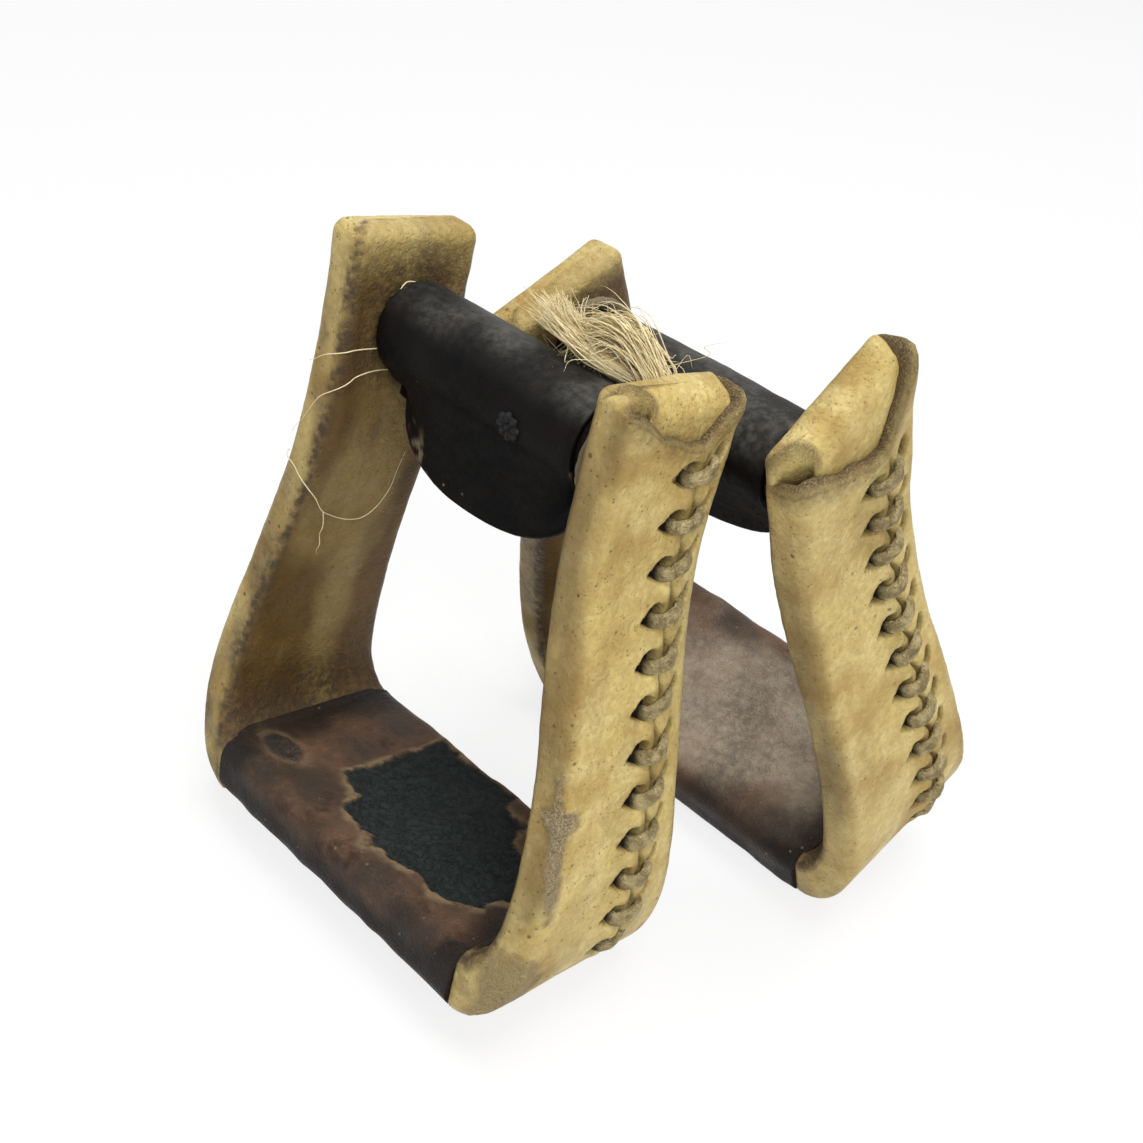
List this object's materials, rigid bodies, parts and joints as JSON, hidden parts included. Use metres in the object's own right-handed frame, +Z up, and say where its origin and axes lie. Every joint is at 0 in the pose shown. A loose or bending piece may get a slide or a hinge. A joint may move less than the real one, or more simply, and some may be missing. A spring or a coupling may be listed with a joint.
{
  "type": "pair of western stirrups",
  "caption": "Pair of bell shaped western stirrups with laced rawhide legs, leather treads and leather wrapped rollers, tied at the rollers with twine.",
  "frame": {"origin": "on the floor under the middle of the pair's bounding box, the twine left out", "axes": "+X along both rollers, from the legs at the left to the laced legs that face the picture, +Y from the front stirrup to the rear one, +Z up"},
  "size_m": [0.1866, 0.182, 0.1894],
  "materials": {
    "rawhide": "hard, satin, stained rawhide",
    "lace": "rough grey brown rawhide lace",
    "tread_leather": "worn dark brown leather",
    "neck_leather": "black oiled leather",
    "wood": "plain bent hardwood",
    "steel": "plain steel",
    "rivet": "black",
    "twine": "frayed sisal"
  },
  "bodies": {
    "front_stirrup": {"wood_frame_a": "wood", "rawhide_left_a": "rawhide", "rawhide_right_a": "rawhide", "lace_left_a": "lace", "lace_right_a": "lace", "tread_leather_a": "tread_leather", "neck_bolt_a": "steel", "bolt_nut_a": "steel", "twine_tie": "twine"},
    "front_roller": {"roller_a": "wood"},
    "front_neck_leather": {"neck_leather_a": "neck_leather", "rosette_spot_a": "rivet"},
    "rear_stirrup": {"wood_frame_b": "wood", "rawhide_left_b": "rawhide", "rawhide_right_b": "rawhide", "lace_left_b": "lace", "lace_right_b": "lace", "tread_leather_b": "tread_leather", "neck_bolt_b": "steel", "bolt_nut_b": "steel"},
    "rear_roller": {"roller_b": "wood"},
    "rear_neck_leather": {"neck_leather_b": "neck_leather", "rosette_spot_b": "rivet"}
  },
  "joints": [
    {"name": "front_roller_spin", "type": "hinge", "parent": "front_stirrup", "child": "front_roller", "pos_m": [-0.0148, -0.03339, 0.16211], "axis": [1, 0, 0], "continuous": true},
    {"name": "front_flap_swing", "type": "hinge", "parent": "front_stirrup", "child": "front_neck_leather", "pos_m": [-0.0148, -0.03339, 0.16211], "axis": [1, 0, 0], "range_deg": [-80, 40]},
    {"name": "pair_fold", "type": "hinge", "parent": "front_stirrup", "child": "rear_stirrup", "pos_m": [0.0148, 0.00519, 0.15845], "axis": [1, 0, 0], "range_deg": [-18, 0]},
    {"name": "rear_roller_spin", "type": "hinge", "parent": "rear_stirrup", "child": "rear_roller", "pos_m": [0.0148, 0.00519, 0.15845], "axis": [1, 0, 0], "continuous": true},
    {"name": "rear_flap_swing", "type": "hinge", "parent": "rear_stirrup", "child": "rear_neck_leather", "pos_m": [0.0148, 0.00519, 0.15845], "axis": [1, 0, 0], "range_deg": [-12, 80]}
  ]
}
